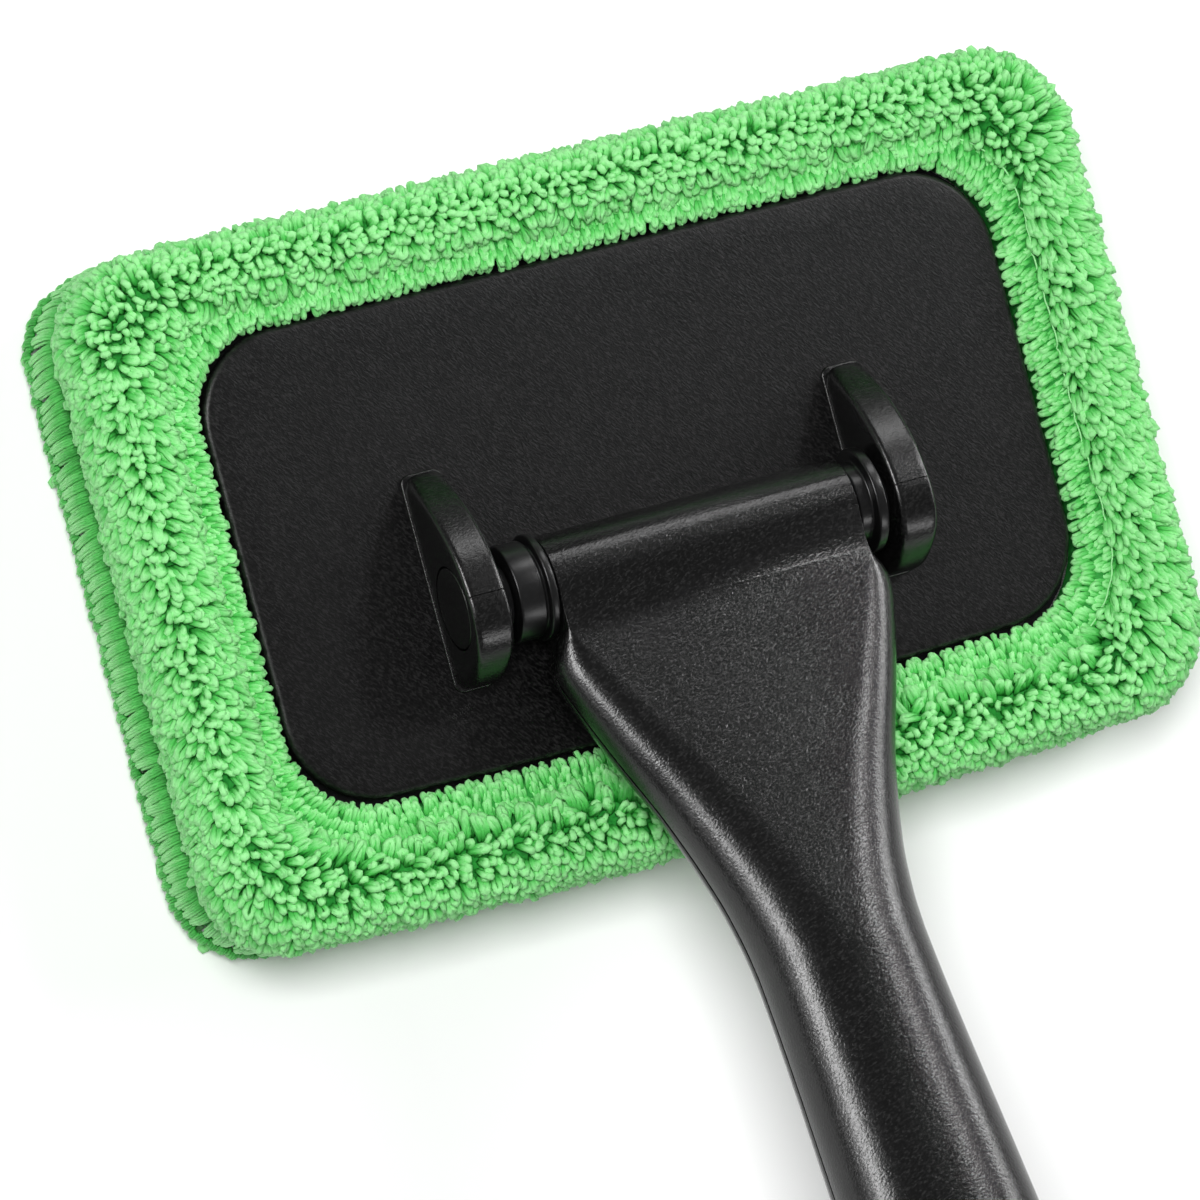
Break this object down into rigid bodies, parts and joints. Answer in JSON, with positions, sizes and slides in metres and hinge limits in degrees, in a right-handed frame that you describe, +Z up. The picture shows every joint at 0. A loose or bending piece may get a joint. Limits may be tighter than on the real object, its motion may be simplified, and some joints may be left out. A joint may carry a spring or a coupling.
{
  "type": "windshield cleaning tool",
  "caption": "Hand tool for wiping the inside of a windshield: a green microfibre bonnet on a foam-backed plate, hinged to a long hollow black handle.",
  "frame": {"origin": "centre of the wiping face, on the surface that the tool lies on", "axes": "+X along the hinge to the right, +Y away from the handle along the tool's length, +Z up from the wiping face"},
  "size_m": [0.2, 0.3548, 0.1273],
  "materials": {
    "microfibre": "matte",
    "hem_microfibre": "matte",
    "elastic": "matte",
    "foam": "matte",
    "carrier_plastic": "matte",
    "panel_plastic": "matte",
    "ear_plastic": "satin",
    "handle_plastic": "satin",
    "bush_plastic": "satin",
    "steel": "satin"
  },
  "bodies": {
    "head": {"bonnet_face": "microfibre", "bonnet_roll": "microfibre", "bonnet_hem": "hem_microfibre", "hem_elastic": "elastic", "foam_pad": "foam", "carrier_plate": "carrier_plastic", "back_panel": "panel_plastic", "panel_screw_1": "steel", "panel_screw_2": "steel", "panel_screw_3": "steel", "panel_screw_4": "steel", "panel_screw_5": "steel", "panel_screw_6": "steel", "hinge_ear_left": "ear_plastic", "hinge_ear_right": "ear_plastic", "ear_screw_1": "steel", "ear_screw_2": "steel", "ear_screw_3": "steel", "ear_screw_4": "steel", "hinge_pin": "steel", "pin_clip": "steel", "pin_cap_left": "ear_plastic", "pin_cap_right": "ear_plastic", "friction_washer_left": "bush_plastic", "friction_washer_right": "bush_plastic"},
    "handle": {"handle_top_shell": "handle_plastic", "handle_bottom_shell": "handle_plastic", "barrel_bush_left": "bush_plastic", "barrel_bush_right": "bush_plastic", "handle_screw_1": "steel", "handle_screw_2": "steel", "handle_screw_3": "steel", "end_cap": "handle_plastic"}
  },
  "joints": [
    {"name": "handle_pivot", "type": "hinge", "parent": "head", "child": "handle", "pos_m": [0, -0.0123, 0.0422], "axis": [-1, 0, 0], "range_deg": [-7, 155]}
  ]
}
